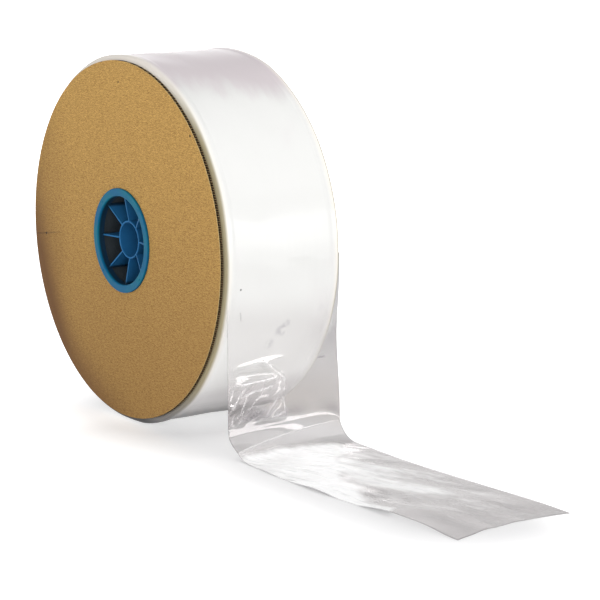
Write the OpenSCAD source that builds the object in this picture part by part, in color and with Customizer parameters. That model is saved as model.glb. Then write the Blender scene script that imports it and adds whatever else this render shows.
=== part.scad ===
// Roll of lay-flat poly tubing on a paper core, with a corrugated disc and a
// ribbed plug at each end and the free end of the film drawn out on the floor.
// X runs from the roll's axis towards the drawn-out film, Y along the axis and Z up.
// The origin is the middle of the flat that the roll stands on. Millimetres.

/* [Film] */
// Lay-flat width of the tubing, from folded edge to folded edge
web_w = 108; // [80:1:160]
// Outside diameter of the full roll
roll_d = 304.8; // [240:0.2:340]
// Thickness of the film where its two plies leave the roll
film_t = 0.25; // [0.2:0.05:0.5]
// Width of the flat that the roll's weight presses into the film
rest_w = 36; // [30:1:50]
// Radius of the shoulder at each end of the winding
shoulder_r = 3; // [1.5:0.5:4]
// Height that the folded edges build up over the middle of the winding
edge_rise = 0.8; // [0.2:0.1:1.5]
// Width of the winding's raised edge, past its shoulder
edge_band = 5; // [3:0.5:10]
// Gap between the first turn of film and the core
wind_gap = 0.1; // [0.05:0.05:0.3]

/* [Drawn-out film] */
// Length of film on the floor, from the hanging stretch to the cut corners
floor_run = 280; // [180:5:420]
// Height of the upper crease, at the foot of the hanging stretch
upper_crease_h = 23.5; // [22:0.5:30]
// How much lower the upper crease lies at its front corner
front_corner_fall = 2.5; // [0:0.5:4]
// How much lower the upper crease lies at its back corner
back_corner_fall = 7.5; // [0:0.5:7.5]
// Height of the lower crease at the back edge
lower_crease_h = 14; // [10:0.5:14]
// How much lower the lower crease lies at the front edge
lower_crease_fall = 8.6; // [4:0.2:9]
// How far the lower crease stands out from the hanging stretch at the front edge
lower_crease_reach = 16; // [8:1:24]
// Length over which the film comes down from the lower crease onto the floor
foot_run = 26; // [20:1:40]
// Depth of the inward bow of the hanging stretch at its back edge
hang_bow = 4; // [0:0.5:6]
// Depth of the hollow in the cut end
end_dip = 8; // [0:1:16]
// How much further the front corner of the cut end reaches than the middle of its line
end_skew = 3; // [0:0.5:6]
// Sideways sway of the film along the floor
sway = 4; // [0:0.5:8]
// Height of the soft buckles where the film lies on the floor
buckle_h = 1.6; // [0.4:0.2:3]
// Height that the front edge lifts off the floor near the cut end
curl_h = 3; // [0:0.5:5]

/* [Core] */
// Bore of the paper core
core_bore = 76.2; // [70:0.1:80]
// Wall of the paper core
core_wall = 6.35; // [4:0.05:10]

/* [End discs] */
// How far the front disc stops short of the outside of the winding
front_inset = 4.1; // [2:0.1:8]
// How far the back disc stops short of the outside of the winding
back_inset = 6.5; // [2:0.1:10]
// Thickness of the corrugated board
board_t = 3; // [2.6:0.1:4]
// Thickness of each flat facing
liner_t = 0.4; // [0.3:0.05:0.6]
// Thickness of the fluted ply, measured through the board
flute_t = 0.3; // [0.2:0.05:0.5]
// Distance from one flute to the next
flute_pitch = 6.5; // [5.5:0.1:9]
// Gap between a disc and the end of the winding
disc_gap = 0.3; // [0.1:0.05:0.5]
// Gap round a plug's collar in the disc's hole
hole_gap = 0.5; // [0.3:0.1:1.5]

/* [Core plugs] */
// How far a plug's flange laps over the board, past the bore of the core
flange_lap = 5.33; // [3:0.01:8]
// Thickness of the flange
flange_t = 2; // [1.5:0.1:3]
// Wall of the collar below the flange
collar_wall = 1.1; // [0.8:0.1:2]
// Depth of the collar, past the board and into the core
collar_seat = 1.2; // [0.8:0.1:3]
// Depth of the whole plug, from the flange's face to the end of its ribs
plug_depth = 30; // [22:1:40]
// Gap between the plug's collar and the core
collar_gap = 0.2; // [0.15:0.05:0.4]
// Gap between the ribs and the core
rib_gap = 0.1; // [0.05:0.05:0.3]
// Thickness of a rib
rib_t = 1.2; // [0.8:0.1:2]
// Number of ribs
rib_count = 8; // [5:1:12]
// Depth below the flange's face at which a rib leaves the collar
rib_drop = 4.7; // [3.5:0.1:5.2]
// Length and width of the lead-in at the end of a rib
rib_lead = 2; // [1:0.5:3]
// Bore of the hub, which takes the dispenser's arbor
hub_bore = 28.6; // [20:0.1:36]
// Wall of the hub
hub_wall = 1.6; // [1.2:0.1:3]
// Depth of the hub's rim below the flange's face
hub_drop = 8.4; // [6:0.1:12]
// Radius on the moulded rims
rim_r = 0.6; // [0.3:0.1:0.7]
// Diameter of the round mould marks on the flange
mark_d = 2.2; // [1.2:0.1:3]
// Height of the mould marks
mark_h = 0.25; // [0.15:0.05:0.4]

/* [Hidden] */
$fn = 120;
// Overlap that makes one solid of two shapes that were made as one
blend = 0.05;

roll_r = roll_d / 2;
axis_z = sqrt(roll_r ^ 2 - (rest_w / 2) ^ 2);
core_r = core_bore / 2 + core_wall;
front_disc_r = roll_r - front_inset;
back_disc_r = roll_r - back_inset;
// Distances from the middle of the roll to the faces that stack up at each end
disc_seat = web_w / 2 + disc_gap;
flange_seat = disc_seat + board_t;
flange_face = flange_seat + flange_t;

collar_r = core_bore / 2 - collar_gap;
mouth_r = collar_r - collar_wall;
flange_r = core_bore / 2 + flange_lap;
collar_depth = flange_t + board_t + disc_gap + collar_seat;
rib_r = core_bore / 2 - rib_gap;
hub_r = hub_bore / 2 + hub_wall;
hole_r = collar_r + hole_gap;

// Middle of the hanging film, which is as far out as the winding
film_x = roll_r - film_t / 2;
// How fast the lower crease moves out, and how fast it drops, towards the front edge
crease_sweep = 2.2;
crease_slope = 1.6;
// How steeply the film leaves the lower crease, as a share of the crease's height
foot_pull = 0.55;
// Stations along the drawn-out film: hanging, between the creases, at the foot and on the floor
hang_steps = 12;
facet_steps = 2;
foot_steps = 6;
run_steps = 28;
// Stations across the film, from the front edge to the back edge
cross_steps = 12;
bend_steps = facet_steps + foot_steps;
film_steps = hang_steps + bend_steps + run_steps;
// The film starts this deep inside the outer turn, so that it is one piece with it
tuck = 0.3;

// Points on an arc about a centre, from one angle to another
function arc(centre, r, from, to, steps = 5) =
    [for (i = [0:steps]) let (a = from + (to - from) * i / steps) centre + r * [cos(a), sin(a)]];

// Smooth hump: 0 at both ends of the range 0 to 1 and 1 in its middle
function hump(t) = t <= 0 || t >= 1 ? 0 : sin(180 * t) ^ 2;

// Height of the upper crease at v across the film, from -1 at the front edge to 1 at the back
function upper_z(v) =
    upper_crease_h - (v > 0 ? back_corner_fall : front_corner_fall) * max(0, 3 * abs(v) - 2);

// Distance of the lower crease from the hanging stretch, and its height
function lower_x(v) = lower_crease_reach * ((1 - v) / 2) ^ crease_sweep;
function lower_z(v) = lower_crease_h - lower_crease_fall * ((1 - v) / 2) ^ crease_slope;

// Middle of the film at the share t of its way down to the upper crease
function hang_point(t, v) =
    let (bow = hang_bow * (1 + v) / 2 * sin(180 * t) ^ 3)
    [film_x - tuck * (1 - t) - bow, v * web_w / 2, axis_z + (upper_z(v) - axis_z) * t];

// Flat facet between the two creases
function facet_point(t, v) =
    [film_x + lower_x(v) * t, v * web_w / 2, upper_z(v) + (lower_z(v) - upper_z(v)) * t];

// Quadratic curve from the lower crease down to the floor
function foot_point(t, v) =
    let (guide = 2 * t * (1 - t) * foot_pull * lower_z(v), end = t ^ 2 * foot_run)
    [film_x + lower_x(v) + guide + end, v * web_w / 2, film_t / 2 + (lower_z(v) - film_t / 2) * (1 - t) ^ 2];

// Soft buckles that run aslant, and the lifted front edge near the cut end
function lift(t, v) =
    let (
        settle = min(1, 4 * t),
        buckle = buckle_h * settle * (0.5 - 0.5 * cos(1080 * t - 169 * v)) * (1 - 0.6 * v ^ 2),
        curl = curl_h * hump((t - 0.6) / 0.38) * max(0, -v) ^ 3
    )
    buckle + curl;

function run_point(t, v) =
    let (
        start = lower_x(v) + foot_run,
        reach = floor_run - start - end_dip * (1 - v ^ 2) - end_skew * v,
        side = v * web_w / 2 - sway * sin(281 * t)
    )
    [film_x + start + reach * t, side, film_t / 2 + lift(t, v)];

function film_point(i, v) =
    let (facet = i - hang_steps, foot = facet - facet_steps, run = foot - foot_steps)
    facet <= 0 ? hang_point(i / hang_steps, v)
    : foot <= 0 ? facet_point(facet / facet_steps, v)
    : run <= 0 ? foot_point(foot / foot_steps, v)
    : run_point(run / run_steps, v);

// Direction through the film: level where it hangs and upright on the floor
function film_normal(i) =
    let (a = 90 * min(1, max(0, (i - hang_steps) / bend_steps)))
    [cos(a), 0, sin(a)];

module film_tail() {
    columns = cross_steps + 1;
    rows = film_steps + 1;
    side = columns * rows;
    across = [for (j = [0:cross_steps]) 2 * j / cross_steps - 1];
    inner = [for (i = [0:film_steps]) for (v = across) film_point(i, v) + film_normal(i) * film_t / 2];
    outer = [for (i = [0:film_steps]) for (v = across) film_point(i, v) - film_normal(i) * film_t / 2];
    faces = concat(
        [for (i = [0:film_steps - 1]) for (j = [0:cross_steps - 1]) let (p = i * columns + j)
            each [[p, p + 1, p + columns], [p + 1, p + columns + 1, p + columns]]],
        [for (i = [0:film_steps - 1]) for (j = [0:cross_steps - 1]) let (p = side + i * columns + j)
            each [[p, p + columns, p + 1], [p + 1, p + columns, p + columns + 1]]],
        [for (i = [0:film_steps - 1]) for (p = [i * columns])
            each [[p, p + columns, p + side], [p + side, p + columns, p + side + columns]]],
        [for (i = [0:film_steps - 1]) for (p = [i * columns + cross_steps])
            each [[p, p + side, p + columns], [p + side, p + side + columns, p + columns]]],
        [for (j = [0:cross_steps - 1]) each [[j, j + side, j + 1], [j + side, j + side + 1, j + 1]]],
        [for (j = [0:cross_steps - 1]) for (p = [film_steps * columns + j])
            each [[p, p + 1, p + side], [p + side, p + 1, p + side + 1]]]
    );
    polyhedron(points = concat(inner, outer), faces = faces);
}

// The wound film: a thick tube whose folded edges stand a little proud
module winding() {
    half = web_w / 2;
    edge_r = roll_r + edge_rise;
    step = half - shoulder_r - edge_band;
    front = concat(
        [[core_r + wind_gap, -half]],
        arc([edge_r - shoulder_r, -half + shoulder_r], shoulder_r, -90, 0),
        [[edge_r, -step - edge_rise], [roll_r, -step + edge_rise]]
    );
    back = [for (i = [len(front) - 1:-1:0]) [front[i][0], -front[i][1]]];
    difference() {
        translate([0, 0, axis_z])
        rotate([-90, 0, 0])
            rotate_extrude()
                polygon(concat(front, back));
        translate([-roll_d, -web_w, -roll_d])
            cube([2 * roll_d, 2 * web_w, roll_d]);
    }
}

module tubing() {
    color([0.93, 0.93, 0.94, 0.85])
    union() {
        winding();
        film_tail();
    }
}

module core_tube() {
    color([0.55, 0.5, 0.44])
    translate([0, -web_w / 2, axis_z])
    rotate([-90, 0, 0])
        difference() {
            cylinder(r = core_r, h = web_w);
            translate([0, 0, -1])
                cylinder(d = core_bore, h = web_w + 2);
        }
}

// One facing of the board, a flat ring
module liner(disc_r) {
    difference() {
        cylinder(r = disc_r, h = liner_t);
        translate([0, 0, -1])
            cylinder(r = hole_r, h = liner_t + 2);
    }
}

// The fluted ply: a wave with flattened crests that are glued to both facings
module fluted_ply(disc_r) {
    crest = board_t - liner_t + blend;
    trough = liner_t - blend;
    flutes = ceil(disc_r / flute_pitch);
    wave = [
        for (k = [-flutes:flutes]) each [
            [(k - 1 / 12) * flute_pitch, crest - flute_t],
            [(k + 1 / 12) * flute_pitch, crest - flute_t],
            [(k + 5 / 12) * flute_pitch, trough],
            [(k + 7 / 12) * flute_pitch, trough]
        ]
    ];
    upper = [for (i = [len(wave) - 1:-1:0]) wave[i] + [0, flute_t]];
    intersection() {
        translate([-disc_r - 1, 0, 0])
        rotate([90, 0, 90])
            linear_extrude(2 * disc_r + 2)
                polygon(concat(wave, upper));
        difference() {
            cylinder(r = disc_r, h = board_t);
            translate([0, 0, -1])
                cylinder(r = hole_r, h = board_t + 2);
        }
    }
}

// Corrugated board cut to a ring, with its flutes along X and its face at z = 0
module board_disc(disc_r) {
    color([0.65, 0.51, 0.29])
    union() {
        liner(disc_r);
        fluted_ply(disc_r);
        translate([0, 0, board_t - liner_t])
            liner(disc_r);
    }
}

module front_disc() {
    translate([0, -flange_seat, axis_z])
    rotate([-90, 0, 0])
        board_disc(front_disc_r);
}

module back_disc() {
    translate([0, flange_seat, axis_z])
    rotate([90, 0, 0])
        board_disc(back_disc_r);
}

// Flange and collar, turned as one profile with rounded rims
module plug_flange() {
    lip_r = 2 * rim_r;
    rotate_extrude()
        polygon(concat(
            [[mouth_r, collar_depth]],
            arc([mouth_r + lip_r, lip_r], lip_r, 180, 270),
            arc([flange_r - rim_r, rim_r], rim_r, 270, 360),
            [[flange_r, flange_t], [collar_r, flange_t], [collar_r, collar_depth]]
        ));
}

// Hub that takes the arbor, with a rounded rim
module plug_hub() {
    rotate_extrude()
        polygon(concat(
            [[hub_bore / 2, plug_depth]],
            arc([hub_bore / 2 + rim_r, hub_drop + rim_r], rim_r, 180, 270),
            arc([hub_r - rim_r, hub_drop + rim_r], rim_r, 270, 360),
            [[hub_r, plug_depth]]
        ));
}

// Rib between hub and collar: its front edge falls towards the hub, and its outer
// edge bears on the core
module plug_rib() {
    hub_middle = hub_r - hub_wall / 2;
    collar_middle = collar_r - collar_wall / 2;
    translate([0, rib_t / 2, 0])
    rotate([90, 0, 0])
        linear_extrude(rib_t)
            polygon([
                [hub_middle, hub_drop + rim_r],
                [hub_r, hub_drop + rim_r / 2],
                [mouth_r, rib_drop],
                [collar_middle, rib_drop],
                [collar_middle, collar_depth - blend],
                [rib_r, collar_depth - blend],
                [rib_r, plug_depth - rib_lead],
                [rib_r - rib_lead / 2, plug_depth],
                [hub_middle, plug_depth]
            ]);
}

// Moulded plug with its flange's face at z = 0 and its ribs down along z
module core_plug() {
    mark_circle = (mouth_r + flange_r) / 2 + rim_r;
    color([0.17, 0.42, 0.54])
    union() {
        plug_flange();
        plug_hub();
        for (i = [0:rib_count - 1])
            rotate([0, 0, i * 360 / rib_count])
                plug_rib();
        for (i = [0:3])
            rotate([0, 0, 45 + 90 * i])
            translate([mark_circle, 0, -mark_h])
                cylinder(d = mark_d, h = mark_h + blend, $fn = 24);
    }
}

module front_core_plug() {
    translate([0, -flange_face, axis_z])
    rotate([-90, 0, 0])
        core_plug();
}

module back_core_plug() {
    translate([0, flange_face, axis_z])
    rotate([90, 0, 0])
        core_plug();
}

tubing();
core_tube();
front_disc();
back_disc();
front_core_plug();
back_core_plug();
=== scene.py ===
import math

import bpy
import numpy as np
from mathutils import Matrix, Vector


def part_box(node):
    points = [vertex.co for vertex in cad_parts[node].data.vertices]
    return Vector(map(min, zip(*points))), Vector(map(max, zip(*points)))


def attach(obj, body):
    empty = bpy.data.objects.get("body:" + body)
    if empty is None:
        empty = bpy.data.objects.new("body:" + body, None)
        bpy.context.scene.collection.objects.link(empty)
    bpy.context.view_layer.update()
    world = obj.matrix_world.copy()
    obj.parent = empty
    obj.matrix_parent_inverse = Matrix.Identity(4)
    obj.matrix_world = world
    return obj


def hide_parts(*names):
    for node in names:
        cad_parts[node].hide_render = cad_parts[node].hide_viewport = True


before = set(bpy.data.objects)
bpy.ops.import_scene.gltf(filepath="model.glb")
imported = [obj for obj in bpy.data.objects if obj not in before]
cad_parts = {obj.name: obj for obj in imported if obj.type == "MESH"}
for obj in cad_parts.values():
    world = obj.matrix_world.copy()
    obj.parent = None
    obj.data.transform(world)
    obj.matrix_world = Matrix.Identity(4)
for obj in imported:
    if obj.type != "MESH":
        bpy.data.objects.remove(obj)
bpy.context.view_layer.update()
MM = 0.001

# The paper core
# A tube of spiral-wound paperboard with a 3 in bore, cut to the width of the web. The film is
# wound straight onto it, and only its inside shows, between the ribs of the plugs, painted near
# black as painted shade for the dim bore.
core_low, core_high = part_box("core_tube")
web_w = core_high.y - core_low.y
axis_z = (core_low.z + core_high.z) / 2
core_r = (core_high.z - core_low.z) / 2
fibre_depth = 0.2 * MM


def paint(red, green, blue):
    """Linear colour with alpha of a screen colour whose parts run from 0 to 255."""
    parts = np.array([red, green, blue]) / 255
    linear = np.where(parts <= 0.04045, parts / 12.92, ((parts + 0.055) / 1.055) ** 2.4)
    return (*linear.tolist(), 1.0)


class Wire:
    """An output socket that takes part in arithmetic: each operator adds one Math node."""

    def __init__(self, nodes, socket):
        self.nodes = nodes
        self.socket = socket

    def math(self, operation, *values):
        return self.nodes.node("ShaderNodeMath", {"operation": operation}, dict(enumerate(values)))

    def __add__(self, other):
        return self.math("ADD", self, other)

    def __sub__(self, other):
        return self.math("SUBTRACT", self, other)

    def __rsub__(self, other):
        return self.math("SUBTRACT", other, self)

    def __mul__(self, other):
        return self.math("MULTIPLY", self, other)

    def __truediv__(self, other):
        return self.math("DIVIDE", self, other)

    def __rtruediv__(self, other):
        return self.math("DIVIDE", other, self)

    def __pow__(self, other):
        return self.math("POWER", self, other)

    def __abs__(self):
        return self.math("ABSOLUTE", self)

    __radd__ = __add__
    __rmul__ = __mul__

    def lesser(self, other):
        return self.math("MINIMUM", self, other)

    def greater(self, other):
        return self.math("MAXIMUM", self, other)

    def cosine(self):
        return self.math("COSINE", self)

    def ramp(self, low, high):
        """0 below low, 1 above high and a smooth rise between; low may lie above high."""
        settings = {"interpolation_type": "SMOOTHSTEP"}
        return self.nodes.node("ShaderNodeMapRange", settings, {0: self, 1: low, 2: high})


class Nodes:
    """The node tree of a material or of the world."""

    def __init__(self, owner):
        owner.use_nodes = True
        self.tree = owner.node_tree

    def node(self, kind, settings=None, sockets=None, out=0):
        """Adds a node, sets its settings and then its sockets, and gives one of its outputs. A
        ramp's stops are pairs of a place and a colour, the first at 0 and the last at 1."""
        node = self.tree.nodes.new(kind)
        for key, value in (settings or {}).items():
            if key == "stops":
                elements = node.color_ramp.elements
                elements[0].color, elements[-1].color = value[0][1], value[-1][1]
                for place, colour in value[1:-1]:
                    elements.new(place).color = colour
            else:
                setattr(node, key, value)
        for key, value in (sockets or {}).items():
            self.join(value, node.inputs[key])
        return Wire(self, node.outputs[out])

    def join(self, value, socket):
        if isinstance(value, Wire):
            self.tree.links.new(value.socket, socket)
        else:
            socket.default_value = value

    def outputs(self, kind, names, sockets=None):
        """Several outputs of one new node."""
        node = self.node(kind, None, sockets).socket.node
        return [Wire(self, node.outputs[name]) for name in names]

    def axes(self, place):
        """The X, Y and Z of a coordinate."""
        return self.outputs("ShaderNodeSeparateXYZ", "XYZ", {0: place})


class Finish(Nodes):
    """A material: one Principled shader and the nodes that lead to it."""

    def __init__(self, name, **constants):
        self.material = bpy.data.materials.new(name)
        super().__init__(self.material)
        self.shader = self.tree.nodes["Principled BSDF"]
        self.wear(**constants)

    def wear(self, **values):
        """Sets or links the shader's own sockets."""
        for socket, value in values.items():
            self.join(value, self.shader.inputs[socket.replace("_", " ")])

    def place(self, source="Object", turn=(0, 0, 0), stretch=(1, 1, 1)):
        """Object or UV coordinates, turned first and then stretched along the turned axes."""
        raw = self.node("ShaderNodeTexCoord", out=source)
        turned = self.node("ShaderNodeMapping", None, {"Vector": raw, "Rotation": turn})
        return self.node("ShaderNodeMapping", None, {"Vector": turned, "Scale": stretch})

    def attribute(self, name, out="Fac"):
        return self.node("ShaderNodeAttribute", {"attribute_name": name}, out=out)

    def noise(self, place, scale, detail=2.0, rough=0.5):
        sockets = {"Vector": place, "Scale": scale, "Detail": detail, "Roughness": rough}
        return self.node("ShaderNodeTexNoise", None, sockets)

    def mix(self, below, above, share):
        """Two colours, mixed by a share from 0 to 1."""
        return self.node("ShaderNodeMix", {"data_type": "RGBA"}, {0: share, 6: below, 7: above}, out=2)

    def bump(self, height, depth, strength=1.0):
        """Lifts the surface by a height from 0 to 1 times depth, in metres."""
        return self.node("ShaderNodeBump", None, {"Height": height, "Distance": depth, "Strength": strength})

    def spots(self, a, b, places):
        """1 in small round spots and 0 outside them. A place is a spot's middle along a and b and
        its radius, in millimetres."""
        total = 0
        for middle_a, middle_b, radius in places:
            from_a, from_b = a - middle_a * MM, b - middle_b * MM
            away = (from_a * from_a + from_b * from_b) ** 0.5
            total = away.ramp(radius * MM, radius * MM * 0.4) + total
        return total


def dress(node, finish):
    """Puts a finish on a CAD node's own material slots."""
    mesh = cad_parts[node].data
    mesh.materials.clear()
    mesh.materials.append(finish.material)


# Painted shade: the board is painted near black, for the dim inside of the bore
core_shade_grey = paint(32, 42, 48)
core_shade_brown = paint(50, 56, 60)
board_wall = Finish("wound_paperboard", Roughness=0.9)
fibre = board_wall.noise(board_wall.place(stretch=(1, 6, 1)), 160, 5, 0.65)
board_wall.wear(
    Base_Color=board_wall.mix(core_shade_grey, core_shade_brown, fibre),
    Normal=board_wall.bump(fibre, fibre_depth),
)
dress("core_tube", board_wall)

# The wound film
# Hundreds of turns of flat poly tubing, milky where they lie on each other. The folded edges
# build up a little at both ends, and the roll's weight presses a flat where it stands.
tubing_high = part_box("tubing")[1]
disc_low, disc_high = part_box("front_disc")
edge_rise = 0.8 * MM
edge_band = 5 * MM
edge_fall = 4 * MM
shoulder_r = 3 * MM
wind_gap = 0.1 * MM
under_disc = 6 * MM
edge_r = tubing_high.z - axis_z
winding_r = edge_r - edge_rise
disc_r = (disc_high.z - disc_low.z) / 2
gauge_depth, gauge_wave = 0.03 * MM, 9 * MM
drape_depth, drape_wave = 0.2 * MM, 42 * MM
inward = 0.3 * MM
face_steps, shoulder_steps, edge_steps, middle_steps, round_steps = 14, 9, 12, 26, 480


def smooth(value):
    """Smooth step from 0 to 1 over the range 0 to 1."""
    held = np.clip(value, 0, 1)
    return held * held * (3 - 2 * held)


def skin(name, points, wrap_rows=False, wrap_columns=False, uv=None):
    """A mesh over a grid of points, rows by columns. A wrapped direction joins its end to its
    start."""
    rows, columns = points.shape[:2]
    index = np.arange(rows * columns).reshape(rows, columns)
    if wrap_rows:
        index = np.vstack([index, index[:1]])
    if wrap_columns:
        index = np.hstack([index, index[:, :1]])
    quads = np.stack([index[:-1, :-1], index[1:, :-1], index[1:, 1:], index[:-1, 1:]], axis=-1)
    mesh = bpy.data.meshes.new(name)
    mesh.from_pydata(points.reshape(-1, 3).tolist(), [], quads.reshape(-1, 4).tolist())
    mesh.polygons.foreach_set("use_smooth", np.ones(len(mesh.polygons), bool))
    if uv is not None:
        corners = np.zeros(len(mesh.loops), int)
        mesh.loops.foreach_get("vertex_index", corners)
        layer = mesh.uv_layers.new(name="along_the_web")
        layer.data.foreach_set("uv", uv.reshape(-1, 2)[corners].astype(np.float32).ravel())
    mesh.update()
    piece = bpy.data.objects.new(name, mesh)
    bpy.context.scene.collection.objects.link(piece)
    return piece


def winding_profile():
    """Radius and height along the axis of the winding's section, once round: up the front face, over
    a quarter circle at the shoulder, across the raised fold and the middle, and back the same way."""
    half = web_w / 2
    face_r = np.linspace(disc_r - under_disc, edge_r - shoulder_r, face_steps)
    face_r = np.concatenate([[core_r + wind_gap], face_r])
    face = np.stack([face_r, np.full_like(face_r, -half)], axis=1)
    turn = np.radians(np.linspace(-90, 0, shoulder_steps))[1:]
    shoulder = np.stack([
        edge_r - shoulder_r + shoulder_r * np.cos(turn),
        -half + shoulder_r + shoulder_r * np.sin(turn),
    ], axis=1)
    fall_start = -half + shoulder_r + edge_band - edge_fall / 2
    fall_end = fall_start + edge_fall
    across = np.concatenate([
        np.linspace(-half + shoulder_r, fall_end, edge_steps)[1:],
        np.linspace(fall_end, 0, middle_steps)[1:],
    ])
    top = np.stack([edge_r - edge_rise * smooth((across - fall_start) / edge_fall), across], axis=1)
    front = np.concatenate([face, shoulder, top])
    back = front[-2::-1] * [1, -1]
    return np.concatenate([front, back])


def buckles(a, b, seed, count, wave, slant, spread):
    """Soft irregular waves, mostly between -1 and 1: a sum of sines over the plane (a, b), all close
    to one wavelength and to one direction, which is given in degrees from a."""
    draw = np.random.default_rng(seed)
    total = np.zeros(np.broadcast(a, b).shape)
    for _ in range(count):
        turn = math.radians(slant + draw.normal(0, spread))
        length = wave * draw.uniform(0.7, 1.5)
        along = a * math.cos(turn) + b * math.sin(turn)
        total += np.sin(2 * np.pi * along / length + draw.uniform(0, 6.28))
    return total / math.sqrt(count)


profile = winding_profile()
turn = np.linspace(0, 2 * np.pi, round_steps, endpoint=False)[:, None]
radius = np.broadcast_to(profile[:, 0], (round_steps, len(profile)))
side = np.broadcast_to(profile[:, 1], radius.shape)
outside = np.clip((radius - edge_r + shoulder_r) / (2 * MM), 0, 1)
gauge = gauge_depth * buckles(side, 0 * side, seed=5, count=6, wave=gauge_wave, slant=0, spread=4)
drape = drape_depth * buckles(turn * winding_r, side, seed=8, count=9, wave=drape_wave, slant=52, spread=12)
radius = radius + outside * (gauge + drape - inward)
winding = np.stack([
    radius * np.cos(turn),
    side + 0 * turn,
    np.maximum(axis_z + radius * np.sin(turn), 0),
], axis=-1)
wound_film = skin("wound_film", winding, wrap_rows=True, wrap_columns=True)

film_white = paint(248, 248, 246)
upper_painted_shade = paint(217, 217, 215)
crown_painted_shade = paint(200, 190, 194)
lower_painted_shade = paint(217, 214, 214)
under_painted_shade = paint(122, 120, 120)
shoulder_painted_shade = paint(234, 229, 219)
end_face_painted_shade = paint(150, 140, 112)
contact_painted_shadow = paint(38, 38, 38)
scuff_grey = paint(205, 204, 206)
mark_grey = paint(96, 95, 96)
# The zones of colour, most of them painted shade, each by where it starts and where it is full
fold_zone, shoulder_shade_zone = (3.2 * MM, 0.4 * MM), (7 * MM, 1.5 * MM)
upper_shade_zone, shaded_crown_zone, lit_end_top_zone = (50 * MM, 160 * MM), (274 * MM, 294 * MM), (240 * MM, 300 * MM)
lower_shade_zone, under_shade_zone = (54 * MM, 32 * MM), (30 * MM, 8 * MM)
olive_zone, contact_shadow_zone, coat_zone = (4 * MM, 60 * MM), (9 * MM, 2 * MM), (12 * MM, 60 * MM)
front_zone, back_zone, outer_zone = (10 * MM, -10 * MM), (0, 50 * MM), (120 * MM, 130 * MM)
crown_dip, crown_fray, streak_fray = 12 * MM, 34 * MM, 14 * MM
skin_depth = 0.06 * MM
# Scuffs and marks on the side where the film comes off: place across, height and radius in millimetres
scuffs = ((5, 91, 7), (9, 97, 5), (-3, 81, 6), (41, 107, 4))
marks = (
    (-40, 131.2, 1.1),
    (-38.2, 111.5, 0.6),
    (-37.2, 109.5, 0.6),
    (-36.8, 107.5, 0.7),
    (-36.4, 105.5, 0.6),
)

milky = Finish("milky_film", Roughness=0.4, IOR=1.5, Specular_IOR_Level=0.25, Coat_Roughness=0.1)
spot = milky.place()
across_x, across_y, across_z = milky.axes(spot)
from_end = web_w / 2 - abs(across_y)
fold = from_end.ramp(*fold_zone)
cloud = milky.noise(milky.place(turn=(0.3, 0.5, 0.7), stretch=(1, 2.2, 1)), 9, 3, 0.55)
# Painted shade: the crown of the roll is painted lilac-grey, reaching lower at the back and with a few
# random lilac patches, for its dimmer top under side light
crown_edge_noise = milky.noise(milky.place(turn=(0.2, 0.9, 0.5), stretch=(1, 3, 1)), 14, 4, 0.6)
shaded_crown = across_z + (crown_edge_noise - 0.5) * crown_fray + across_y.ramp(*back_zone) * crown_dip
shaded_crown = shaded_crown.ramp(*shaded_crown_zone)
# Painted shade: the winding is painted greyer upwards, where the lamps light it more
colour = milky.mix(film_white, upper_painted_shade, across_z.ramp(*upper_shade_zone))
colour = milky.mix(colour, crown_painted_shade, (shaded_crown * 0.85).greater(cloud.ramp(0.5, 0.8) * 0.3))
# Painted shade: a cream band over the rounded shoulder at each end of the winding
colour = milky.mix(colour, shoulder_painted_shade, from_end.ramp(*shoulder_shade_zone) * 0.7)
outer = across_x.ramp(*outer_zone)
patchy = milky.noise(spot, 160, 3, 0.7).ramp(0.4, 0.6)
scuffed = milky.spots(across_y, across_z, scuffs) * outer * patchy
colour = milky.mix(colour, scuff_grey, scuffed * 0.8)
colour = milky.mix(colour, mark_grey, milky.spots(across_y, across_z, marks) * outer)
# Painted shade: the winding darkens towards the floor, in streaks along its turns, for the shadow under the
# roll
shade_streaks = milky.noise(milky.place(stretch=(0.05, 0.05, 1)), 130, 3, 0.6)
low = across_z + (shade_streaks - 0.5) * streak_fray
colour = milky.mix(colour, lower_painted_shade, low.ramp(*lower_shade_zone) * 0.8)
colour = milky.mix(colour, under_painted_shade, low.ramp(*under_shade_zone) * 0.9)
# Painted shade on the winding's end face: olive-grey by the disc, grey at the bottom and near black at the
# floor contact, with painted light keeping the top of the front end pale
end_face_shade = milky.mix(under_painted_shade, end_face_painted_shade, across_z.ramp(*olive_zone))
end_face_shade = milky.mix(end_face_shade, contact_painted_shadow, across_z.ramp(*contact_shadow_zone) * 0.75)
lit_end_top = across_z.ramp(*lit_end_top_zone) * 0.85 * across_y.ramp(*front_zone)
fine = milky.noise(milky.place(stretch=(1, 0.35, 1)), 240, 3, 0.6)
milky.wear(
    Base_Color=milky.mix(colour, end_face_shade, fold * (1 - lit_end_top)),
    Coat_Weight=0.3 * (1 - fold) * (1 - shaded_crown) * across_z.ramp(*coat_zone),
    Normal=milky.bump(fine, skin_depth),
)
wound_film.data.materials.append(milky.material)
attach(wound_film, "root")
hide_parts("tubing")

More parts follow.
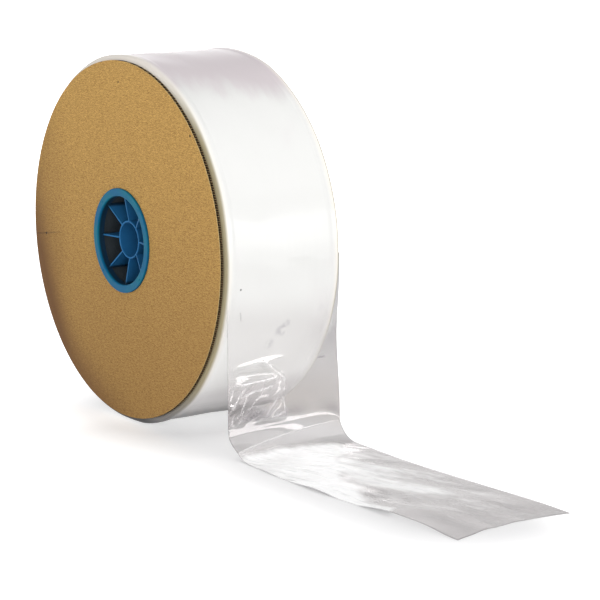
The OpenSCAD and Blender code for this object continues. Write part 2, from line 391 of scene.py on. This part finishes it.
# The drawn-out film
# The free end of the same web, two clear plies folded edge to edge. It hangs from the roll, turns at
# two creases at the foot and lies on the floor in soft buckles, up to its hollow cut end.
film_t = 0.25 * MM
upper_crease_h = 23.5 * MM
front_corner_fall = 2.5 * MM
back_corner_fall = 7.5 * MM
corner_power = 6
lower_crease_h = 14 * MM
lower_crease_fall = 8.6 * MM
lower_crease_reach = 16 * MM
crease_sweep = 2.2
crease_slope = 1.6
ledge_slope = 0.2
ledge_share, ledge_gain = 0.24, 0.12
facet_sweep = 1.7
foot_run = 26 * MM
foot_pull = 0.55
floor_run = 280 * MM
end_dip = 8 * MM
end_skew = 3 * MM
sway = 4 * MM
sway_turn = math.radians(281)
hang_bow = 4 * MM
tuck = 0.3 * MM
sag_depth, sag_wave = 0.45 * MM, 34 * MM
crumple_depth, crumple_wave = 1.5 * MM, 15 * MM
buckle_h, buckle_wave = 0.8 * MM, 70 * MM
wrinkle_depth, wrinkle_wave = 0.14 * MM, 9 * MM
gather_depth, gather_wave = 0.2 * MM, 32 * MM
fan_shift, fan_run = 70 * MM, 80 * MM
curl_h = 3 * MM
hang_rows, facet_rows, foot_rows, run_rows = 100, 20, 36, 170
film_columns = 97
# Pinched folds: the middle across and up, the slant in degrees from level, and the length, width and
# height in millimetres. On the floor, the middle is out along the film and across.
hang_folds = (
    (-24, 71, 4, 66, 2.2, 0.9),
    (-9, 63, -38, 34, 1.5, 1.4),
    (-27, 62, -3, 56, 3.0, -1.2),
    (-26, 56, 3, 54, 2.4, 1.6),
    (-26, 48, 10, 42, 3.0, -1.7),
    (-40, 35, 58, 26, 2.4, -1.3),
    (-14, 33, 52, 24, 2.2, 1.3),
    (-30, 29, 24, 26, 1.8, 1.1),
)
middle_fold = ((0, 36, 90, 58, 0.9, 0.55),)
middle_fold_low = 12 * MM
floor_folds = (
    (205, 8, 44, 40, 0.9, 0.5),
    (228, -12, 32, 46, 0.9, 0.6),
    (262, 22, 20, 34, 0.8, 0.5),
    (272, 6, 12, 52, 0.9, 0.7),
    (300, -8, 16, 30, 0.8, 0.6),
    (318, 14, 8, 42, 0.8, 0.4),
)


def rise(value, start, end):
    """Smooth step from 0 at start to 1 at end, which may lie below start."""
    return smooth((value - start) / (end - start))


def pinches(a, b, folds):
    """A sum of pinched ridges over the plane (a, b). A ridge's height falls off exponentially to
    each side of a straight line, and smoothly towards the line's ends. Negative heights press a
    groove."""
    total = 0
    for middle_a, middle_b, slant, length, width, height in folds:
        turn = math.radians(slant)
        from_a, from_b = a - middle_a * MM, b - middle_b * MM
        along = from_a * math.cos(turn) + from_b * math.sin(turn)
        aside = from_b * math.cos(turn) - from_a * math.sin(turn)
        window = smooth(1.6 * (1 - np.abs(2 * along / (length * MM))))
        total = total + height * MM * np.exp(-np.abs(aside) / (width * MM)) * window
    return total


def crumples(a, b, seed, count, wave):
    """Flat facets between straight creases, mostly between -1 and 1: a sum of triangle waves, rounded
    in their grooves, in all directions over the plane (a, b), each bent a little by a slower sine."""
    draw = np.random.default_rng(seed)
    total = np.zeros(np.broadcast(a, b).shape)
    for _ in range(count):
        turn = draw.uniform(0, math.pi)
        length = wave * draw.uniform(0.6, 1.7)
        along = a * math.cos(turn) + b * math.sin(turn)
        aside = b * math.cos(turn) - a * math.sin(turn)
        bent = 0.25 * np.sin(aside / length * 1.3 + draw.uniform(0, 6.28))
        phase = along / length + bent + draw.uniform()
        total += 4 * np.sqrt((phase - np.floor(phase) - 0.5) ** 2 + 0.004) - 1
    return total / math.sqrt(count)


# The smooth path: v runs across the film from -1 at the front edge to 1 at the back, and t down or
# along each stretch
v = np.linspace(-1, 1, film_columns)[None, :]
toward_front = (1 - v) / 2
out_x = winding_r - film_t / 2
foot_z = upper_crease_h - np.where(v > 0, back_corner_fall, front_corner_fall) * v**corner_power
crease_x = out_x + lower_crease_reach * toward_front**crease_sweep
crease_z = lower_crease_h - lower_crease_fall * toward_front**crease_slope
floor_z = film_t / 2
foot_x = crease_x + foot_run
end_x = out_x + floor_run - end_dip * (1 - v**2) - end_skew * v

t = np.linspace(0, 1, hang_rows)[:, None]
hang_x = out_x - tuck * (1 - t) - hang_bow * (1 + v) / 2 * np.sin(np.pi * t) ** 3
hang = np.stack([hang_x, 0 * t + v, axis_z + (foot_z - axis_z) * t], axis=-1)

t = np.linspace(0, 1, facet_rows + 1)[1:, None]
drop = foot_z - crease_z
ledge = ledge_share + ledge_gain * toward_front
beyond = np.maximum(t - ledge, 0) / (1 - ledge)
ledge_x = out_x + ledge_slope * drop * np.minimum(t, ledge)
sweep_x = crease_x - out_x - ledge_slope * drop * ledge
facet = np.stack([ledge_x + sweep_x * beyond**facet_sweep, 0 * t + v, foot_z - drop * t], axis=-1)

t = np.linspace(0, 1, foot_rows + 1)[1:, None]
guide_x = crease_x + foot_pull * crease_z
foot = np.stack([
    (1 - t) ** 2 * crease_x + 2 * t * (1 - t) * guide_x + t**2 * foot_x,
    0 * t + v,
    (1 - t) ** 2 * crease_z + (2 * t * (1 - t) + t**2) * floor_z,
], axis=-1)

t = np.linspace(0, 1, run_rows + 1)[1:, None]
run = np.stack([foot_x + (end_x - foot_x) * t, 0 * t + v, floor_z + 0 * t * v], axis=-1)

sheet = np.concatenate([hang, facet, foot, run])
share = np.clip((sheet[..., 0] - out_x) / floor_run, 0, 1)
sheet[..., 1] = sheet[..., 1] * web_w / 2 - sway * np.sin(sway_turn * share)

step = np.gradient(sheet, axis=0)
step /= np.linalg.norm(step, axis=-1, keepdims=True)
away = np.stack([-step[..., 2], 0 * step[..., 1], step[..., 0]], axis=-1)

# The folds: each kind lifts the film off its path, where its zone is
x, y, z = sheet[..., 0], sheet[..., 1], sheet[..., 2]
out = x - out_x
hanging = rise(z, 22 * MM, 30 * MM) * rise(z, axis_z - 30 * MM, axis_z - 60 * MM)
sag = buckles(y, 0.1 * z, seed=3, count=4, wave=sag_wave, slant=0, spread=5)
lift = hanging * (sag_depth * sag + pinches(y, z, hang_folds))
front_half = rise(y, 1.2 * MM, -0.4 * MM) * rise(v, -1, -0.88)
crumpled = front_half * rise(z, 57 * MM, 51 * MM) * rise(z, 21 * MM, 26 * MM)
lift = lift + crumpled * crumple_depth * crumples(y, z, seed=14, count=4, wave=crumple_wave)
lift = lift + pinches(y, z, middle_fold) * (z > middle_fold_low)

lane = y - fan_shift * (1 - np.exp(-np.maximum(out, 0) / fan_run))
slow = buckles(x, y, seed=21, count=5, wave=buckle_wave, slant=-35, spread=10)
wrinkles = buckles(lane, 0.2 * x, seed=31, count=9, wave=wrinkle_wave, slant=0, spread=12)
gathers = buckles(lane, 0.2 * x, seed=37, count=7, wave=gather_wave, slant=0, spread=12)
lying = rise(out, 30 * MM, 70 * MM)
wrinkled = rise(out, 14 * MM, 30 * MM) * rise(out, 120 * MM, 50 * MM)
pressed = (0.4 + 0.6 * rise(out, floor_run, floor_run - 60 * MM)) * (1 - 0.85 * np.clip(v, 0, 1) ** 3)
lift = lift + lying * buckle_h * (1 + slow) * pressed
lift = lift + wrinkled * wrinkle_depth * wrinkles + lying * gather_depth * gathers
lift = lift + pinches(x, y, floor_folds)
curled = rise(x, 305 * MM, 395 * MM) * rise(out, floor_run - 4 * MM, floor_run - 44 * MM)
lift = lift + curl_h * curled * np.clip(-v, 0, 1) ** 3
sheet = sheet + away * lift[..., None]
sheet[..., 2] = np.maximum(sheet[..., 2], floor_z)

steps_down = np.cumsum(np.linalg.norm(np.diff(sheet, axis=0), axis=-1), axis=0)
length_down = np.concatenate([[0 * v[0]], steps_down])
web_uv = np.stack([length_down, 0 * length_down + v * web_w / 2], axis=-1)
drawn_film = skin("drawn_film", sheet, uv=web_uv)
plies = drawn_film.modifiers.new("two_plies", "SOLIDIFY")
plies.thickness = film_t
plies.offset = 0

# Five values go with the mesh: how free the film hangs of the winding that it clings to, how sharply
# it is bent, because a crease whitens, how white it is behind the foot, from the milkiness of its fine
# wrinkles and from a painted reflection of the roll and the lamps, how grey it is painted over the
# crease and past the roll, as painted shade, and the lanes along which its streaks fan out
full_bend = 0.8 * MM
milk_and_sheen_rim = np.array([(161, 53), (217, 12), (267, -18), (306, -34), (350, -36), (366, -62)]) * MM
upper_row, lower_row = hang_rows - 1, hang_rows + facet_rows - 1
crease_rows, dusk_rows = 0.9, 3.2

x, y, z = sheet[..., 0], sheet[..., 1], sheet[..., 2]
row = np.arange(len(sheet))[:, None] + 0 * v
gap = np.hypot(x, z - axis_z) - winding_r
free = np.where(z > axis_z, 0, rise(gap, 0.3 * MM, 7.3 * MM))

bend = np.zeros_like(lift)
middle = 2 * sheet[1:-1, 1:-1]
bend[1:-1, 1:-1] = np.linalg.norm(sheet[2:, 1:-1] - middle + sheet[:-2, 1:-1], axis=-1)
bend[1:-1, 1:-1] += np.linalg.norm(sheet[1:-1, 2:] - middle + sheet[1:-1, :-2], axis=-1)
crease_line = np.exp(-((row - lower_row) / crease_rows) ** 2) * rise(v, 0.9, 0.5)
bend = np.clip(bend / full_bend, 0, 1) * np.where(row > upper_row, 0.5, 1) + 0.9 * crease_line

# Real milkiness and painted reflection: the white zone behind the foot, where the film mirrors the roll and
# the lamps, is painted as milky body
inside = np.interp(x, milk_and_sheen_rim[:, 0], milk_and_sheen_rim[:, 1]) - y + 4 * MM * slow + 3 * MM * gathers
milk = rise(inside, -10 * MM, 14 * MM) * rise(x - crease_x - 9 * MM * (1 + v), -6 * MM, 10 * MM)
middle_band = 0.3 + 0.4 * np.exp(-((v - 0.15) / 0.45) ** 2)
milk = np.maximum(milk, middle_band * lying * rise(x, 440 * MM, 320 * MM))

# Painted shade: a grey band just above the upper crease, and grey where the film hangs past the roll, for
# the shadowed floor behind it
above = (upper_row - row) / dusk_rows
dusk = np.where(above < 0, 0, above * np.exp(1 - above)) * (0.7 + 0.3 * np.sin(9 * v))
past_roll = rise(z - y, 50 * MM, 36 * MM) * rise(y, -8 * MM, 8 * MM) * rise(row, 1, 9)
past_roll = past_roll * (0.22 + 0.6 * rise(z, 45 * MM, 90 * MM)) * (row < upper_row)
dusk = np.maximum(dusk, past_roll)

for name, values in (("free", free), ("bend", np.clip(bend, 0, 1)), ("milk", milk), ("dusk", dusk)):
    layer = drawn_film.data.attributes.new(name, "FLOAT", "POINT")
    layer.data.foreach_set("value", values.astype(np.float32).ravel())
lanes = np.stack([length_down, 8 * lane, 0 * lane], axis=-1)
layer = drawn_film.data.attributes.new("lanes", "FLOAT_VECTOR", "POINT")
layer.data.foreach_set("vector", lanes.astype(np.float32).ravel())

film_haze = paint(218, 213, 213)
crease_and_sheen_white = paint(253, 253, 253)
fold_and_shade_grey = paint(170, 166, 168)
hang_length = 128 * MM
glint_patch_top = 88 * MM
scar_down, scar_over = 83.8 * MM, 37.8 * MM
most_body = 0.95
film_skin_depth = 0.1 * MM

clear = Finish("clear_film", Roughness=0.08, Specular_IOR_Level=0.0)
down, over, _ = clear.axes(clear.place("UV"))
crease = clear.attribute("bend").ramp(0.3, 0.9)
# Painted shade from the mesh, over the crease and past the roll; the same grey also draws the edge lines and
# the scar
dusk_shade_mask = clear.attribute("dusk")
along = clear.attribute("lanes", out="Vector")
laid = down.ramp(hang_length - 10 * MM, hang_length + 40 * MM)
edge_line = abs(over).ramp(web_w / 2 - 1.0 * MM, web_w / 2 - 0.2 * MM)
scar = abs(down - scar_down).ramp(0.9 * MM, 0.2 * MM) * abs(over - scar_over).ramp(3.4 * MM, 2.2 * MM)

cloud = clear.noise(clear.place("UV", turn=(0, 0, -0.25), stretch=(1, 3.5, 1)), 14, 4, 0.6).ramp(0.35, 0.65)
thread = clear.noise(along, 30, 4, 0.6).ramp(0.5, 0.66)
fine = clear.noise(along, 70, 3, 0.6)
rough_skin = clear.bump(fine * (0.15 + laid * 0.85), film_skin_depth)
# Painted highlights: milky shards in the crumpled patch, for its facets catching the light
glint_place = clear.place("UV", turn=(0, 0, 0.9), stretch=(1, 2.6, 1))
glint_shards = clear.node("ShaderNodeTexVoronoi", None, {"Vector": glint_place, "Scale": 70}, out="Color")
glint_shard = clear.axes(glint_shards)[0].ramp(0.5, 0.62)
glint_patch = down.ramp(glint_patch_top, glint_patch_top + 10 * MM) * down.ramp(hang_length + 1 * MM, hang_length - 3 * MM)
glint_patch = glint_patch * over.ramp(3 * MM, -2 * MM)

# A ply mirrors more the flatter it is seen, by the Schlick formula, and its two faces add up. What
# isn't mirrored meets the film's milky body or goes through.
facing = clear.node("ShaderNodeLayerWeight", None, {"Blend": 0.5, "Normal": rough_skin}, out="Facing")
one_face = 0.04 + 0.96 * facing**5
gleam = 1 - (1 - one_face) * (1 - one_face)
haze_and_sheen = (clear.attribute("milk") + laid * (cloud - 0.5) * 0.35 + laid * thread * 0.12).ramp(0.05, 1.0)
body = 0.04 + haze_and_sheen * (0.86 - thread * 0.3) + crease * 0.16 + edge_line * 0.16 + dusk_shade_mask * 0.22
body = body + glint_patch * (glint_shard * 0.16 + 0.11) + scar * 0.4
body = body.lesser(most_body)
cover = body + (1 - body) * gleam
pale = clear.mix(film_haze, crease_and_sheen_white, (crease * 0.5).greater(haze_and_sheen))
clear.wear(
    Base_Color=clear.mix(pale, fold_and_shade_grey, (edge_line * 0.5 + dusk_shade_mask + scar).lesser(1.0)),
    Alpha=cover * clear.attribute("free"),
    Metallic=(1 - body) * gleam / cover,
    Normal=rough_skin,
)
drawn_film.data.materials.append(clear.material)
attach(drawn_film, "root")
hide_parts("tubing")

# The end discs
# A ring of single-wall corrugated board at each end of the winding, die-cut with its flutes level.
# The plug's flange holds it on, and its kraft facing is flecked, with a crease at the left.
flute_pitch = 6.5 * MM
torn_per_flute = 3.5
liner_t = 0.4 * MM
disc_face = -disc_low.y
fleck_depth, flute_depth, dent_depth, hole_depth = 0.12 * MM, 0.04 * MM, 0.4 * MM, 0.4 * MM
# Pinholes and nicks in the front disc: place along X, height and radius in millimetres
pinholes = ((-2, 282, 1.1), (-64, 168.7, 1.1), (-129, 140.3, 1.5))
nicks = ((-28.8, 297.2, 1.6), (106.9, 248.7, 1.6))
dent_start, dent_end = (-145 * MM, 138 * MM), (-94 * MM, 146 * MM)
dent_w, dent_fade = 0.9 * MM, 30 * MM
kraft = paint(170, 129, 66)
kraft_dark = paint(124, 87, 40)
kraft_light = paint(211, 171, 93)
kraft_painted_shade = paint(104, 70, 34)
kraft_hollow_shade = paint(58, 40, 22)
kraft_edge = paint(196, 172, 118)
kraft_torn = paint(150, 128, 88)
shade_low, shade_left = (290 * MM, 0), (-80 * MM, -150 * MM)
shade_rim, shade_corner = (104 * MM, 150 * MM), (66 * MM, 150 * MM)
wobble_reach = 60 * MM

board = Finish("kraft_board", Roughness=0.85)
spot = board.place()
across_x, across_y, across_z = board.axes(spot)
up = across_z - axis_z
front = across_y.ramp(*front_zone)
fleck = board.noise(spot, 1500, 2, 0.8)
fibre = board.noise(board.place(stretch=(1, 1, 3)), 300, 3, 0.7)
wobble = (board.noise(spot, 12, 3, 0.6) - 0.5) * wobble_reach
shade = board.mix(kraft_dark, kraft_light, (fleck * 0.7 + fibre * 0.3).ramp(0.415, 0.585))
shade = board.mix(shade, kraft, 0.2)
# Painted shade: the board darkens to brown at the bottom and, on the front disc, at the left and the lower
# left corner, as if lit from the upper right
lower = (across_z + wobble).ramp(*shade_low)
left = (across_x + wobble * 0.6).ramp(*shade_left)
rim = ((across_x * across_x + up * up) ** 0.5).ramp(*shade_rim)
corner = (across_x * -0.75 + up * -0.66).ramp(*shade_corner) * rim
shade = board.mix(shade, kraft_painted_shade, lower * 0.44 + front * (left * 0.42 + corner * 0.5))

dent_slope = (dent_end[1] - dent_start[1]) / (dent_end[0] - dent_start[0])
from_dent = abs(across_z - dent_start[1] - (across_x - dent_start[0]) * dent_slope)
dent = front * from_dent.ramp(dent_w, 0) * across_x.ramp(dent_end[0], dent_end[0] - dent_fade)
# Painted shade: the pinholes, nicks and the crease are painted dark, for the shade in them
holes = front * board.spots(across_x, across_z, pinholes + nicks)
shade = board.mix(shade, kraft_hollow_shade, (holes + dent * 0.35).lesser(1.0))

# The cut rim: the facing's pale edge, and behind it the flutes with torn fibres, their hollows dark
# with painted shade
deep = abs(across_y)
flute_phase = up * (2 * math.pi / flute_pitch)
flute_wave = flute_phase.cosine() * 0.5 + 0.5
torn_wave = (flute_phase * torn_per_flute).cosine().ramp(-0.9, 0.2)
in_facing = deep.ramp(disc_face, disc_face - 0.02 * MM)
in_flutes = deep.ramp(disc_face - liner_t + 0.05 * MM, disc_face - liner_t)
shade = board.mix(shade, kraft_edge, in_facing)
shade = board.mix(shade, board.mix(kraft_torn, kraft_hollow_shade, torn_wave), in_flutes)
relief = fleck * fleck_depth + flute_wave * flute_depth - dent * dent_depth - holes * hole_depth
board.wear(Base_Color=shade, Normal=board.bump(relief, 1.0))
for name in ("front_disc", "back_disc"):
    dress(name, board)

# The core plugs
# Moulded plastic: a flange that holds the board, a short collar, a hub for the dispenser's arbor
# and thin ribs between them that bear on the core. It is pushed into the core by hand.
mouth_r = 36.8 * MM
rim_out = 4.6 * MM
pebble_depth = 0.03 * MM
plug_blue = paint(6, 88, 126)
plug_teal = paint(8, 100, 122)
plug_deep_painted_light = paint(36, 98, 146)
collar_painted_shade = paint(20, 30, 38)

moulded = Finish("moulded_plastic", Roughness=0.42, IOR=1.45, Specular_IOR_Level=0.12)
spot = moulded.place()
across_x, across_y, across_z = moulded.axes(spot)
up = across_z - axis_z
flow = moulded.noise(spot, 34, 2, 0.5)
pebble = moulded.noise(spot, 1400, 2, 0.5)
from_axis = (across_x * across_x + up * up) ** 0.5
past_web = abs(across_y) - web_w / 2
# Painted shade: the collar's inner wall is painted near black, deep in the mouth
collar = from_axis.ramp(mouth_r - 3 * MM, mouth_r - 0.2 * MM) * past_web.ramp(rim_out, 2.5 * MM)
tone = moulded.mix(plug_blue, plug_teal, flow.ramp(0.4, 0.65))
# Painted light: the ribs and hub past the flange are painted a lighter blue, as if lit deep in the mouth
tone = moulded.mix(tone, plug_deep_painted_light, past_web.ramp(rim_out, -1 * MM))
moulded.wear(
    Base_Color=moulded.mix(tone, collar_painted_shade, collar * 0.85),
    Normal=moulded.bump(pebble, pebble_depth),
)
for name in ("front_core_plug", "back_core_plug"):
    dress(name, moulded)

# The studio
# A white floor without an edge that keeps the shadow, five soft lamps, and a camera at the height and
# angle of the photograph. The lamps light the disc, the film's side and the top, put the glints on
# the creases, and mirror in the film that lies on the floor.
floor_size = 40.0
view_azimuth = math.radians(55.091)
view_elevation = math.radians(11.085)
view_roll = math.radians(-0.199)
view_distance = 1.833698
view_target = (0.174036, 0.0, 0.122322)
view_width_px = 600
focal_px = 2346.537
sensor_mm = 36.0
shadow_reach = (0.045, 0.14)
shadow_far = (0.1, 1.6)
shadow_start, shadow_end = -0.02, 0.38
contact_x = 0.01
contact_reach = (0.085, 0.03)
beside_roll, before_roll = (0.22, 0.12), (0.03, -0.03)


def lamp(name, place, aim, width, height, watts):
    """A flat soft lamp at a place, turned to face a point."""
    light = bpy.data.lights.new(name, "AREA")
    light.shape = "RECTANGLE"
    light.size = width
    light.size_y = height
    light.energy = watts
    holder = bpy.data.objects.new(name, light)
    holder.location = place
    direction = np.array(aim) - np.array(place)
    flat = math.hypot(direction[0], direction[1])
    holder.rotation_euler = (math.atan2(flat, -direction[2]), 0, math.atan2(-direction[0], direction[1]))
    holder.visible_camera = False
    bpy.context.scene.collection.objects.link(holder)


floor = bpy.data.objects.new("floor", bpy.data.meshes.new("floor"))
reach = floor_size / 2
corners = [(-reach, -reach, 0), (reach, -reach, 0), (reach, reach, 0), (-reach, reach, 0)]
floor.data.from_pydata(corners, [], [(0, 1, 2, 3)])
bpy.context.scene.collection.objects.link(floor)

# The paper glows where a ray looks at it, a mirrored or refracted one too, but less near the roll and
# the film, as their painted shadow, which falls to the camera's side. Through the film its plain lit
# grey shows.
paper = Finish("studio_floor", Base_Color=(0.634, 0.63, 0.634, 1), Roughness=0.9, Specular_IOR_Level=0.0)
ray_kinds = ("Is Camera Ray", "Is Glossy Ray", "Is Transmission Ray", "Transparent Depth")
camera_ray, glossy_ray, through_ray, films_passed = paper.outputs("ShaderNodeLightPath", ray_kinds)
shown = (camera_ray + glossy_ray + through_ray).lesser(1.0)
uncovered = 1 - films_passed.lesser(1.0)
ground_x, ground_y, _ = paper.axes(paper.place())
beyond_x = (ground_x - shadow_end).greater(0) + (shadow_start - ground_x).greater(0)
aside = (ground_y * -1).greater(ground_y * 2)
far = (beyond_x * beyond_x + aside * aside) ** 0.5
clear_of = far.ramp(*shadow_reach)
# Painted fill light: the glow rises at the roll's contact, beside the roll and in front of it
from_contact = ground_x - contact_x
painted_fill = ((from_contact * from_contact + ground_y * ground_y) ** 0.5).ramp(*contact_reach) * 0.36
painted_fill = painted_fill + ground_x.ramp(*beside_roll) * (1 - clear_of) * 0.11 + ground_x.ramp(*before_roll) * 0.2
strength = 0.2 + clear_of * 0.48 + painted_fill + far.ramp(*shadow_far) * 0.4
glow = paper.node("ShaderNodeEmission", None, {"Strength": shown * uncovered * strength})
both = paper.node("ShaderNodeAddShader", None, {0: Wire(paper, paper.shader.outputs[0]), 1: glow})
paper.join(both, paper.tree.nodes["Material Output"].inputs["Surface"])
floor.data.materials.append(paper.material)

# The room: its light is strongest a little above the horizon and weakest overhead, and the camera
# sees it white
studio = bpy.data.worlds.new("studio")
room = Nodes(studio)
bpy.context.scene.world = studio
height = room.axes(room.node("ShaderNodeTexCoord", out="Generated"))[2]
levels = ((0, 0.8), (0.1, 0.94), (0.3, 0.9), (0.5, 0.6), (0.9, 0.42), (1, 0.42))
stops = [(place, (level, level, level, 1)) for place, level in levels]
level = room.node("ShaderNodeValToRGB", {"stops": stops}, {0: height})
seen = room.node("ShaderNodeLightPath", out="Is Camera Ray")
background = room.tree.nodes["Background"]
room.join((1, 1, 1, 1), background.inputs["Color"])
room.join(level.greater(seen), background.inputs["Strength"])

lamp("disc_lamp", (0.35, -1.7, 0.55), (0, 0, 0.15), 0.8, 0.8, 11.5)
lamp("side_lamp", (2.0, -0.75, 0.18), (0.15, 0, 0.1), 0.8, 0.36, 11)
lamp("top_lamp", (1.0, 1.3, 2.2), (0.15, 0, 0.1), 2.6, 2.6, 28)
lamp("glint_lamp", (2.0, 1.35, 0.36), (0.15, 0, 0.04), 1.5, 0.66, 14)
lamp("sheen_lamp", (-1.81, 1.05, 0.64), (0.26, -0.03, 0), 0.73, 1.1, 5)

backward = np.array([
    math.sin(view_azimuth) * math.cos(view_elevation),
    -math.cos(view_azimuth) * math.cos(view_elevation),
    math.sin(view_elevation),
])
rightward = np.array([math.cos(view_azimuth), math.sin(view_azimuth), 0])
upward = np.cross(backward, rightward)
camera = bpy.data.objects.new("camera", bpy.data.cameras.new("camera"))
camera.data.sensor_width = sensor_mm
camera.data.lens = focal_px / view_width_px * sensor_mm
pose = np.identity(4)
pose[:3, 0] = math.cos(view_roll) * rightward + math.sin(view_roll) * upward
pose[:3, 1] = math.cos(view_roll) * upward - math.sin(view_roll) * rightward
pose[:3, 2] = backward
pose[:3, 3] = np.array(view_target) + backward * view_distance
camera.matrix_world = Matrix(pose.tolist())
bpy.context.scene.collection.objects.link(camera)
bpy.context.scene.camera = camera

bpy.context.scene.view_settings.view_transform = "Standard"
